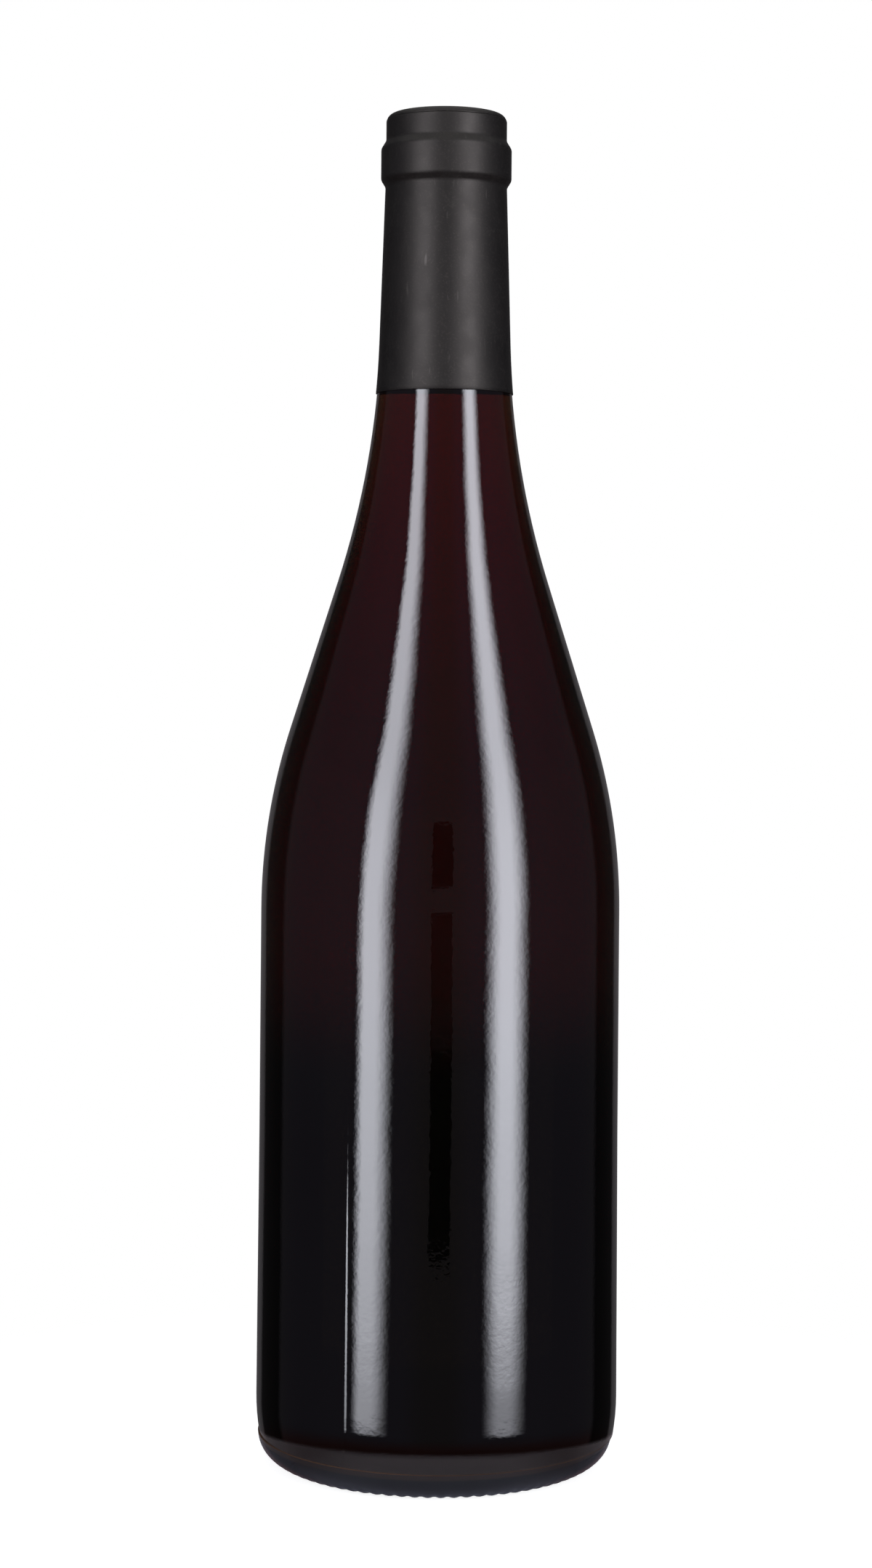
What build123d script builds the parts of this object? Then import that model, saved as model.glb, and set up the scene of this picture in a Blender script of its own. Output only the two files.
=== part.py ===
from build123d import *
import os

# A filled and sealed 750 ml wine bottle with sloping shoulders, standing on its base.
# Four pieces share the axis +Z: the glass bottle, the wine in it, and the skirt and
# the top disc of the capsule over its mouth. The origin is the centre of the base,
# on the surface that the bottle stands on. All sizes are in millimetres.

# --- Bottle: outside ------------------------------------------------------------
body_diameter = 80.0
body_height = 143.0  # base to the corner where the shoulder's cone starts
shoulder_rise = 78.5  # from there up to the corner at the foot of the neck
neck_rise = 78.3  # from there up to the rim of the mouth
neck_foot_diameter = 30.6
neck_top_diameter = 26.7  # just under the ring
shoulder_radius = 134.0  # convex bend from body to shoulder
neck_radius = 198.0  # hollow bend from shoulder to neck

# --- Bottle: heel and bearing ring ----------------------------------------------
heel_swell = 0.25  # how far the heel, the bottle's widest place, stands out past the body
heel_height = 14.5
swell_height = 73.0  # the body widens from here down to the heel
seam_height = 6.2  # where the body mould meets the base plate of the mould
seam_inset = 0.75  # from the heel's widest place in to the seam
seam_step = 0.3
bearing_inset = 7.6  # from the heel's widest place in to the bearing ring
bearing_width = 1.6

# --- Bottle: push-up in the base ------------------------------------------------
punt_depth = 22.0
punt_crown_diameter = 16.0
punt_crown_fillet = 12.0
bearing_inner_fillet = 1.5

# --- Bottle: finish under the capsule -------------------------------------------
ring_diameter = 28.7
ring_drop = 8.3  # rim of the mouth down to the ring's top corner
ring_width = 5.9
ring_slope = 2.2  # height of the slope under the ring
lip_slope = 2.4  # height of the slope between lip and ring
lip_diameter = 26.5
lip_fillet = 1.6
ring_fillet = 1.4
mouth_bore = 18.5
mouth_fillet = 0.8

# --- Bottle: wall and cavity ----------------------------------------------------
body_wall = 2.35
neck_foot_wall = 4.2
base_thickness = 5.5
heel_inner_fillet = 4.5
trough_fillet = 4.0
trough_share = 0.7  # the most of the trough's width that either fillet may take

# --- Wine -----------------------------------------------------------------------
fill_drop = 55.0  # rim of the mouth down to the wine

# --- Capsule --------------------------------------------------------------------
foil = 0.2
capsule_length = 62.3  # rim of the mouth down to the skirt's cut edge
disc_rim = 1.4  # the disc's rim, from the top of the capsule down
crease = 0.05  # how far the skirt stands out past the disc's rim

# --- Worked out from the sizes above --------------------------------------------
body_radius = body_diameter / 2
heel_radius = body_radius + heel_swell
seam_radius = heel_radius - seam_inset
bearing_outer = heel_radius - bearing_inset
bearing_inner = bearing_outer - bearing_width
crown_radius = punt_crown_diameter / 2
trough_width = body_radius - body_wall - bearing_inner
neck_foot = body_height + shoulder_rise
rim_height = neck_foot + neck_rise
ring_top = rim_height - ring_drop
ring_foot = ring_top - ring_width
fill_height = rim_height - fill_drop
skirt_foot = rim_height - capsule_length
skirt_top = rim_height + foil - disc_rim


def outer_line(skin: float) -> None:
    """Draw the outside from the heel's widest place up to the rim, grown by skin."""
    Line((heel_radius + skin, heel_height), (body_radius + skin, swell_height))
    FilletPolyline(
        (body_radius + skin, swell_height),
        (body_radius + skin, body_height),
        (neck_foot_diameter / 2 + skin, neck_foot),
        (neck_top_diameter / 2 + skin, ring_foot - ring_slope),
        (ring_diameter / 2 + skin, ring_foot),
        (ring_diameter / 2 + skin, ring_top),
        (lip_diameter / 2 + skin, ring_top + lip_slope),
        (lip_diameter / 2 + skin, rim_height + skin),
        (0, rim_height + skin),
        radius=[
            shoulder_radius + skin,
            neck_radius - skin,
            ring_fillet,
            ring_fillet,
            ring_fillet,
            ring_fillet,
            lip_fillet + skin,
        ],
    )


def cavity_face() -> Sketch:
    """Half the section of the space inside the glass, up to the rim."""
    with BuildSketch(Plane.XZ) as face:
        with BuildLine():
            Line((0, rim_height), (0, punt_depth + base_thickness))
            FilletPolyline(
                (0, punt_depth + base_thickness),
                (crown_radius, punt_depth + base_thickness),
                (bearing_inner, base_thickness),
                (body_radius - body_wall, base_thickness),
                (body_radius - body_wall, body_height),
                (neck_foot_diameter / 2 - neck_foot_wall, neck_foot),
                (mouth_bore / 2, rim_height),
                radius=[
                    punt_crown_fillet,
                    min(trough_fillet, trough_share * trough_width),
                    min(heel_inner_fillet, trough_share * trough_width),
                    shoulder_radius - body_wall,
                    neck_radius + neck_foot_wall,
                ],
            )
            Line((mouth_bore / 2, rim_height), (0, rim_height))
        make_face()
    return face.sketch


def envelope_face(skin: float) -> Sketch:
    """Half the section of a solid bottle above the heel, grown by skin."""
    with BuildSketch(Plane.XZ) as face:
        with BuildLine():
            outer_line(skin)
            Polyline(
                (0, rim_height + skin),
                (0, heel_height),
                (heel_radius + skin, heel_height),
            )
        make_face()
    return face.sketch


# --- Glass ----------------------------------------------------------------------
with BuildPart() as glass:
    with BuildSketch(Plane.XZ):
        with BuildLine():
            outer_line(0)
            TangentArc(
                (heel_radius, heel_height),
                (seam_radius, seam_height),
                tangent=(0, -1),
            )
            Line((seam_radius, seam_height), (seam_radius - seam_step, seam_height))
            TangentArc(
                (bearing_outer, 0),
                (seam_radius - seam_step, seam_height),
                tangent=(1, 0),
            )
            FilletPolyline(
                (bearing_outer, 0),
                (bearing_inner, 0),
                (crown_radius, punt_depth),
                (0, punt_depth),
                radius=[bearing_inner_fillet, punt_crown_fillet],
            )
            Line((0, punt_depth), (0, rim_height))
        make_face()
    revolve(axis=Axis.Z)
    revolve(cavity_face(), axis=Axis.Z, mode=Mode.SUBTRACT)
    rim_circles = glass.edges().filter_by(GeomType.CIRCLE).group_by(Axis.Z)[-1]
    mouth_edge = rim_circles.sort_by(SortBy.RADIUS)[0]
    fillet(mouth_edge, mouth_fillet)

# --- Wine -----------------------------------------------------------------------
with BuildPart() as wine:
    revolve(cavity_face(), axis=Axis.Z)
    split(bisect_by=Plane.XY.offset(fill_height), keep=Keep.BOTTOM)

# --- Capsule skirt: a sleeve shrunk on to the neck and the finish ----------------
with BuildPart() as capsule_skirt:
    revolve(envelope_face(foil + crease), axis=Axis.Z)
    revolve(envelope_face(0), axis=Axis.Z, mode=Mode.SUBTRACT)
    split(bisect_by=Plane.XY.offset(skirt_foot), keep=Keep.TOP)
    split(bisect_by=Plane.XY.offset(skirt_top), keep=Keep.BOTTOM)

# --- Capsule disc: a shallow pressed cap over the mouth --------------------------
with BuildPart() as capsule_disc:
    revolve(envelope_face(foil), axis=Axis.Z)
    revolve(envelope_face(0), axis=Axis.Z, mode=Mode.SUBTRACT)
    split(bisect_by=Plane.XY.offset(skirt_top), keep=Keep.TOP)

# --- Export ---------------------------------------------------------------------
os.makedirs("parts", exist_ok=True)

glass.part.label = "glass"
export_step(glass.part, "parts/glass.step")

wine.part.label = "wine"
export_step(wine.part, "parts/wine.step")

capsule_skirt.part.label = "capsule_skirt"
export_step(capsule_skirt.part, "parts/capsule_skirt.step")

capsule_disc.part.label = "capsule_disc"
export_step(capsule_disc.part, "parts/capsule_disc.step")
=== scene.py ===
"""A filled and sealed wine bottle with sloping shoulders, standing in a small studio.

Three sub-assemblies share the axis +Z: the glass bottle, the wine in it, and the
capsule over its mouth. Every surface is a profile carried round that axis.
"""
import logging
import math
from collections.abc import Mapping, Sequence
from dataclasses import dataclass
from enum import Enum, IntEnum

import bpy
import numpy as np
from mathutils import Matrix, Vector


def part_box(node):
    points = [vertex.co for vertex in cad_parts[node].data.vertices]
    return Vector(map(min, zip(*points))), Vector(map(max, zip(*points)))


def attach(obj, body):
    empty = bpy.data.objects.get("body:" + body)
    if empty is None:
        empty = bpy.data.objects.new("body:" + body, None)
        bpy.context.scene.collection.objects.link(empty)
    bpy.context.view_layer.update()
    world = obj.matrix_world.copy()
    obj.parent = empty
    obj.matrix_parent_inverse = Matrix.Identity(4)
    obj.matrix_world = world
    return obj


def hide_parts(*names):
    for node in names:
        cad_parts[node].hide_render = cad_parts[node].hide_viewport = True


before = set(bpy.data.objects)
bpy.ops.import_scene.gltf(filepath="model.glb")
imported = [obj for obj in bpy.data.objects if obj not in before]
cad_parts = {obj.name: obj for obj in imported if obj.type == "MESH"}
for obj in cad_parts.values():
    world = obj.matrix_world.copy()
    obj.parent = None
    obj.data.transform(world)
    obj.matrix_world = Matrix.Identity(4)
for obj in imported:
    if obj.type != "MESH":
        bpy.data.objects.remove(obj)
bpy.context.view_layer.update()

log = logging.getLogger("wine_bottle")

MM = 0.001  # metres in a millimetre; the object's own sizes are in millimetres
FULL_TURN = 2 * math.pi
SAME_PLACE = 1e-4  # mm; two points that are closer than this count as one

Pair = Sequence[float]  # a point or a way in a profile, as (radius, height)
Range = tuple[float, float]  # the two ends of a change
Colour = tuple[float, float, float, float]  # linear red, green, blue and 1
Value = float | Sequence[float] | bpy.types.NodeSocket  # a constant, or a socket

WHITE: Colour = (1.0, 1.0, 1.0, 1.0)
SMOOTH = {"interpolation_type": "SMOOTHSTEP"}  # a Map Range with soft ends


# --- Lines and surfaces -----------------------------------------------------------
@dataclass(frozen=True)
class Spacing:
    """How close together the points of a line lie."""

    step: float  # mm from point to point on a straight run, at most
    turn: float  # degrees from point to point on an arc, at most


def straight(start: Pair, end: Pair, spacing: Spacing) -> np.ndarray:
    """Evenly spaced points on the run from start to end.

    Args:
        start: First point.
        end: Last point.
        spacing: How close together the points lie.

    Returns:
        An array of points, both ends included.
    """
    start, end = np.asarray(start, float), np.asarray(end, float)
    count = max(1, math.ceil(np.hypot(*(end - start)) / spacing.step)) + 1
    return np.linspace(start, end, count)


def tangent_arc(start: Pair, end: Pair, tangent: Pair, spacing: Spacing) -> np.ndarray:
    """Points on the circle that leaves start along tangent and passes through end.

    With chord c and the unit normal n of the tangent, the radius is c.c / (2 c.n), and
    the arc turns through twice the angle between tangent and chord.

    Args:
        start: First point.
        end: Last point.
        tangent: Direction of the arc at start.
        spacing: How close together the points lie.

    Returns:
        An array of points, both ends included.
    """
    start, end = np.asarray(start, float), np.asarray(end, float)
    along = np.asarray(tangent, float) / np.hypot(*tangent)
    normal = np.array([-along[1], along[0]])
    chord = end - start
    radius = chord @ chord / (2 * chord @ normal)
    turn = 2 * math.atan2(chord @ normal, chord @ along)
    count = max(2, math.ceil(abs(turn) / math.radians(spacing.turn))) + 1
    swept = np.linspace(0.0, turn, count)[:, None]
    return start + radius * (np.sin(swept) * along + (1 - np.cos(swept)) * normal)


def join(*runs: np.ndarray) -> np.ndarray:
    """Chain runs of points into one line, and drop points that repeat.

    Args:
        runs: Arrays of points, each of which starts where the last one ends.

    Returns:
        One array of points.
    """
    line = np.concatenate(runs)
    apart = np.hypot(*np.diff(line, axis=0).T) > SAME_PLACE
    return line[np.concatenate([[True], apart])]


def rounded_line(
    corners: Sequence[Pair], radii: Sequence[float], spacing: Spacing
) -> np.ndarray:
    """A polyline whose inner corners are rounded.

    A corner of radius R that turns by t starts and ends R tan(t / 2) along its two runs.

    Args:
        corners: The polyline's corners.
        radii: The rounding of each inner corner, 0 where it stays sharp.
        spacing: How close together the points lie.

    Returns:
        An array of points from the first corner to the last.
    """
    corners = np.asarray(corners, float)
    ways = np.diff(corners, axis=0)
    ways /= np.hypot(*ways.T)[:, None]
    runs, here = [], corners[0]
    for corner, before, after, radius in zip(corners[1:-1], ways, ways[1:], radii):
        turn = math.acos(float(np.clip(before @ after, -1, 1)))
        reach = radius * math.tan(turn / 2)
        start, end = corner - before * reach, corner + after * reach
        runs.append(straight(here, start, spacing))
        if reach > 0:
            runs.append(tangent_arc(start, end, before, spacing))
        here = end
    runs.append(straight(here, corners[-1], spacing))
    return join(*runs)


def middles(profile: np.ndarray) -> np.ndarray:
    """The middle of each run of a profile, halfway between its two points."""
    return (profile[:-1] + profile[1:]) / 2


def even_angles(columns: int) -> np.ndarray:
    """Angles k / n of a full turn, in radians, for k from 0 to n - 1."""
    return np.arange(columns) / columns * FULL_TURN


def carry_round(profile: np.ndarray, angles: np.ndarray) -> np.ndarray:
    """Carry a profile round the Z axis.

    A point (r, z) at angle a lands on (r cos a, r sin a, z).

    Args:
        profile: Points as (radius, height), in millimetres.
        angles: Angles round the axis, in radians.

    Returns:
        A grid of places, angle by point by coordinate, in millimetres.
    """
    radius, height = profile.T
    x = radius * np.cos(angles)[:, None]
    y = radius * np.sin(angles)[:, None]
    return np.stack([x, y, np.broadcast_to(height, x.shape)], axis=-1)


def face_corners(around: int, rows: int, poles: bool) -> tuple[np.ndarray, np.ndarray]:
    """Number the corners of the faces on a grid that runs all the way round the axis.

    Row k of column c is corner c * rows + k, and each cell of the grid is one
    four-sided face. With poles, a fan of triangles joins the first row to the corner
    that follows the grid's own, and another joins the last row to the next corner.
    Without them, the last row joins back on to the first, as on a ring.

    Args:
        around: How many columns go round the axis.
        rows: How many points of the profile lie off the axis.
        poles: True if the profile starts and ends on the axis.

    Returns:
        The four-sided faces, and the triangles.
    """
    column = np.arange(around)[:, None] * rows
    beside = np.roll(column, -1, axis=0)
    lower = np.arange(rows - 1 if poles else rows)
    upper = (lower + 1) % rows
    quads = [column + lower, beside + lower, beside + upper, column + upper]
    quads = np.stack(quads, axis=-1).reshape(-1, 4)
    if not poles:
        return quads, np.zeros((0, 3), int)
    foot = np.full_like(column, around * rows)
    tip, last = foot + 1, rows - 1
    fans = [[foot, beside, column], [column + last, beside + last, tip]]
    return quads, np.concatenate([np.hstack(fan) for fan in fans])


def grid_piece(
    name: str,
    grid: np.ndarray,
    poles: bool,
    finishes: Sequence[bpy.types.Material],
    bands: np.ndarray | None = None,
) -> bpy.types.Object:
    """Make a closed piece from a grid that runs all the way round the axis.

    Args:
        name: The piece's name.
        grid: Places, angle by point by coordinate, in millimetres.
        poles: True if the profile starts and ends on the axis.
        finishes: The materials of the piece.
        bands: For each run of the profile, the place of its material in finishes.

    Returns:
        The Blender object, at the origin.
    """
    around, rows = grid.shape[:2]
    points = grid.reshape(-1, 3)
    if poles:
        rows -= 2
        points = np.concatenate([grid[:, 1:-1].reshape(-1, 3), grid[0, [0, -1]]])
    quads, fans = face_corners(around, rows, poles)
    corners = np.concatenate([quads.ravel(), fans.ravel()])
    sizes = np.repeat([4, 3], [len(quads), len(fans)])
    starts = np.cumsum(sizes) - sizes

    mesh = bpy.data.meshes.new(name)
    mesh.vertices.add(len(points))
    mesh.vertices.foreach_set("co", (points * MM).astype(np.float32).ravel())
    mesh.loops.add(len(corners))
    mesh.loops.foreach_set("vertex_index", corners.astype(np.int32))
    mesh.polygons.add(len(sizes))
    mesh.polygons.foreach_set("loop_start", starts.astype(np.int32))
    for finish in finishes:
        mesh.materials.append(finish)
    if bands is not None:
        cells, ends = (bands[1:-1], bands[[0, -1]]) if poles else (bands, bands[:0])
        slots = np.concatenate([np.tile(cells, around), np.repeat(ends, around)])
        mesh.polygons.foreach_set("material_index", slots.astype(np.int32))
    mesh.polygons.foreach_set("use_smooth", np.ones(len(sizes), bool))
    mesh.update(calc_edges=True)
    mesh.validate()
    piece = bpy.data.objects.new(name, mesh)
    bpy.context.scene.collection.objects.link(piece)
    return piece


# --- Materials --------------------------------------------------------------------
def linear(code: str) -> Colour:
    """Turn an sRGB hex colour into linear light.

    A part v is v / 12.92 up to 0.04045, and ((v + 0.055) / 1.055) ^ 2.4 above it.

    Args:
        code: The colour, as # and six hex digits.

    Returns:
        Linear red, green, blue and 1.
    """
    parts = np.array([int(code[i : i + 2], 16) for i in (1, 3, 5)]) / 255
    parts = np.where(parts <= 0.04045, parts / 12.92, ((parts + 0.055) / 1.055) ** 2.4)
    return (*parts.tolist(), 1.0)


def add_node(
    tree: bpy.types.NodeTree,
    kind: str,
    inputs: Mapping[str, Value] | Sequence[Value] = (),
    **settings: str,
) -> bpy.types.bpy_prop_collection:
    """Add a node with its settings, its constants and its links.

    Args:
        tree: The node tree.
        kind: Blender's name for the node, without ShaderNode in front.
        inputs: Input name to constant or socket, or those in the inputs' own order.
        settings: Attributes to set on the node.

    Returns:
        The node's outputs.
    """
    node = tree.nodes.new("ShaderNode" + kind)
    for key, setting in settings.items():
        setattr(node, key, setting)
    pairs = inputs.items() if isinstance(inputs, Mapping) else enumerate(inputs)
    for key, value in pairs:
        if isinstance(value, bpy.types.NodeSocket):
            tree.links.new(value, node.inputs[key])
        else:
            node.inputs[key].default_value = value
    return node.outputs


def new_material(name: str) -> tuple[bpy.types.Material, bpy.types.NodeTree]:
    """Make a material whose node tree is empty.

    Args:
        name: The material's name.

    Returns:
        The material and its tree.
    """
    material = bpy.data.materials.new(name)
    material.use_nodes = True
    material.node_tree.nodes.clear()
    return material, material.node_tree


# A clear surface that mirrors nothing, as where the glass and the wine meet.
CLEAR = {
    "Base Color": WHITE,
    "Roughness": 0.0,
    "Specular IOR Level": 0.0,
    "Transmission Weight": 1.0,
}


class Slot(Enum):
    """The record's material slots."""

    GLASS = "bottle_glass"
    WINE = "red_wine"
    FILM = "capsule_film"


@dataclass(frozen=True)
class BlownGlass:
    """Olive bottle glass, blown in a polished iron mould.

    The eye gets mirror-sharp reflections whose edges waver a little, because the mould
    leaves faint ripples about a millimetre across, on longer swells. Low down the
    ripples are weaker, and there are shallow hammered marks, three times as wide as they
    are high.
    """

    tint: str = "#3A3220"  # what the wall lets through, seen twice
    refraction: float = 1.52
    swell: float = 14.0  # mm across
    swell_height: float = 0.06
    hammer: float = 1.3  # mm up the side
    hammer_stretch: float = 3.0  # how many times as far round
    hammer_height: float = 0.004
    hammer_fade: Range = (18.0, 60.0)  # mm up the bottle
    hammer_left: float = 0.12  # the share that is left above the fade
    ripple: float = 1.1  # mm across
    ripple_height: float = 0.012
    ripple_fade: Range = (14.0, 34.0)  # mm up the bottle
    ripple_left: float = 0.45  # the share that is left below the fade

    def outer(self) -> bpy.types.Material:
        """Build the glass as it meets the air.

        Returns:
            The material.
        """
        material, tree = new_material("blown_olive_glass")
        place = add_node(tree, "TexCoord")["Object"]
        height = add_node(tree, "SeparateXYZ", (place,))["Z"]
        swell = {"Vector": place, "Scale": 1 / (self.swell * MM), "Detail": 1.0}
        swell = {"Height": add_node(tree, "TexNoise", swell)["Fac"]}
        swell |= {"Distance": self.swell_height * MM, "Strength": 1.0}
        normal = add_node(tree, "Bump", swell)["Normal"]

        wide = 1 / (self.hammer_stretch * self.hammer * MM)
        scale = (wide, wide, 1 / (self.hammer * MM))
        beaten = add_node(tree, "Mapping", {"Vector": place, "Scale": scale})["Vector"]
        low, high = self.hammer_fade
        fade = (height, low * MM, high * MM, 1.0, self.hammer_left)
        hammer = {
            "Height": add_node(tree, "TexNoise", {"Vector": beaten, "Scale": 1.0})["Fac"],
            "Distance": self.hammer_height * MM,
            "Strength": add_node(tree, "MapRange", fade, **SMOOTH)["Result"],
            "Normal": normal,
        }
        normal = add_node(tree, "Bump", hammer)["Normal"]

        ripple = {"Vector": place, "Scale": 1 / (self.ripple * MM), "Detail": 2.0}
        low, high = self.ripple_fade
        fade = (height, low * MM, high * MM, self.ripple_left, 1.0)
        ripple = {
            "Height": add_node(tree, "TexNoise", ripple)["Fac"],
            "Distance": self.ripple_height * MM,
            "Strength": add_node(tree, "MapRange", fade, **SMOOTH)["Result"],
            "Normal": normal,
        }
        glass = {
            "Base Color": linear(self.tint),
            "Roughness": 0.0,
            "IOR": self.refraction,
            "Transmission Weight": 1.0,
            "Normal": add_node(tree, "Bump", ripple)["Normal"],
        }
        shader = add_node(tree, "BsdfPrincipled", glass)["BSDF"]
        add_node(tree, "OutputMaterial", {"Surface": shader})
        return material

    def inner(self) -> bpy.types.Material:
        """Build the glass as it meets the wine, where there is almost no reflection.

        Returns:
            The material.
        """
        material, tree = new_material("blown_olive_glass_inside")
        shader = add_node(tree, "BsdfPrincipled", CLEAR | {"IOR": self.refraction})["BSDF"]
        add_node(tree, "OutputMaterial", {"Surface": shader})
        return material


@dataclass(frozen=True)
class MouldLine:
    """Glass along the mould's parting line round the heel.

    The eye gets one thin dark amber line, where the sharp edge of the parting scatters light
    that has travelled inside the glass.
    """

    colour: str = "#3C2C22"
    roughness: float = 0.6
    refraction: float = 1.52

    def make(self) -> bpy.types.Material:
        """Build the line's material.

        Returns:
            The material.
        """
        material, tree = new_material("scattering_mould_line_glass")
        glass = {
            "Base Color": linear(self.colour),
            "Roughness": self.roughness,
            "IOR": self.refraction,
            "Specular IOR Level": 0.0,
        }
        shader = add_node(tree, "BsdfPrincipled", glass)["BSDF"]
        add_node(tree, "OutputMaterial", {"Surface": shader})
        return material


@dataclass(frozen=True)
class RedWine:
    """Young red wine, filtered clear.

    The eye gets deep red where the bottle is thin and near black where it is wide,
    because the wine takes up light along the whole way through.
    """

    refraction: float = 1.34
    colour: str = "#F04C4C"
    density: float = 180.0  # for each metre, in the colour that it stops most

    def make(self) -> bpy.types.Material:
        """Build the wine's material.

        Returns:
            The material.
        """
        material, tree = new_material("clear_red_wine")
        surface = CLEAR | {"IOR": self.refraction}
        depth = {"Color": linear(self.colour), "Density": self.density}
        whole = {
            "Surface": add_node(tree, "BsdfPrincipled", surface)["BSDF"],
            "Volume": add_node(tree, "VolumeAbsorption", depth)["Volume"],
        }
        add_node(tree, "OutputMaterial", whole)
        return material


@dataclass(frozen=True)
class SatinFilm:
    """Black satin capsule film, printed matt and shrunk on with heat.

    The eye gets a soft, wide, warm sheen with a fine sparkle in it, dull patches where
    hands have been, and a few rubbed lines that run up and down. The real grain, well
    under a tenth of a millimetre, is too fine to show, so it is drawn at nearly half.
    """

    name: str = "satin_black_capsule_film"
    gloss: float = 0.36
    refraction: float = 1.5
    colour: str = "#0B0B0B"
    fleck: str = "#1D1B19"
    mark: str = "#2A2826"
    sheen: str = "#FFF5EC"
    roughness: float = 0.49
    grain: float = 0.45  # mm between specks
    grain_height: float = 0.012
    fleck_range: Range = (0.50, 0.72)  # of the grain's noise
    patch: float = 6.0  # mm across a dull patch
    patch_range: Range = (0.35, 0.65)  # of the patches' noise
    patch_contrast: float = 0.03  # roughness added or taken off
    rub: float = 1.1  # mm round the neck between rubbed lines
    rub_length: float = 9.0
    rub_range: Range = (0.70, 0.76)  # of the lines' noise
    rub_shine: float = 0.08  # roughness taken off

    def make(self) -> bpy.types.Material:
        """Build the film's material.

        Returns:
            The material.
        """
        material, tree = new_material(self.name)
        place = add_node(tree, "TexCoord")["Object"]
        grain = {"Vector": place, "Scale": 1 / (self.grain * MM), "Detail": 3.0}
        speck = add_node(tree, "TexNoise", grain | {"Roughness": 0.6})["Fac"]
        patch = {"Vector": place, "Scale": 1 / (self.patch * MM), "Detail": 2.0}
        patch = add_node(tree, "TexNoise", patch)["Fac"]
        around = 1 / (self.rub * MM)
        scale = (around, around, 1 / (self.rub_length * MM))
        drawn = add_node(tree, "Mapping", {"Vector": place, "Scale": scale})["Vector"]
        lines = add_node(tree, "TexNoise", {"Vector": drawn, "Scale": 1.0})["Fac"]

        rubbed = add_node(tree, "MapRange", (lines, *self.rub_range, 0.0, 1.0), **SMOOTH)[0]
        flecks = add_node(tree, "MapRange", (speck, *self.fleck_range, 0.0, 1.0), **SMOOTH)[0]
        ends = self.roughness + self.patch_contrast, self.roughness - self.patch_contrast
        dull = add_node(tree, "MapRange", (patch, *self.patch_range, *ends), **SMOOTH)[0]
        shine = add_node(tree, "Math", (rubbed, self.rub_shine), operation="MULTIPLY")[0]
        colour = {"Factor": flecks, "A": linear(self.colour), "B": linear(self.fleck)}
        colour = add_node(tree, "Mix", colour, data_type="RGBA")["Result"]
        colour = {"Factor": rubbed, "A": colour, "B": linear(self.mark)}
        bump = {"Height": speck, "Distance": self.grain_height * MM, "Strength": 1.0}
        film = {
            "Base Color": add_node(tree, "Mix", colour, data_type="RGBA")["Result"],
            "Roughness": add_node(tree, "Math", (dull, shine), operation="SUBTRACT")[0],
            "IOR": self.refraction,
            "Specular IOR Level": self.gloss,
            "Specular Tint": linear(self.sheen),
            "Normal": add_node(tree, "Bump", bump)["Normal"],
        }
        shader = add_node(tree, "BsdfPrincipled", film)["BSDF"]
        add_node(tree, "OutputMaterial", {"Surface": shader})
        return material


# The flat face of the disc is painted shade: a copy of the film with its gloss taken away,
# so that the lamps' glare doesn't show on top, and with a lighter matt grey colour.
SHADED_TOP_FILM = SatinFilm(
    name="capsule_film_painted_shade_top",
    gloss=0.0,
    colour="#2A2827",
    fleck="#312F2D",
    mark="#353331",
)


# --- The bottle, and what is in it and on it --------------------------------------
# How close together each line's points lie: closest where light is mirrored.
OUTSIDE = Spacing(step=14.0, turn=1.0)
UNDERSIDE = Spacing(step=4.0, turn=8.0)
PLATE = Spacing(step=4.0, turn=5.5)
HEEL = Spacing(step=4.0, turn=3.0)
MOUTH = Spacing(step=20.0, turn=23.0)
INSIDE = Spacing(step=20.0, turn=2.0)
WINE_SIDE = Spacing(step=20.0, turn=2.5)
CAPSULE_SIDE = Spacing(step=4.0, turn=1.0)


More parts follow.
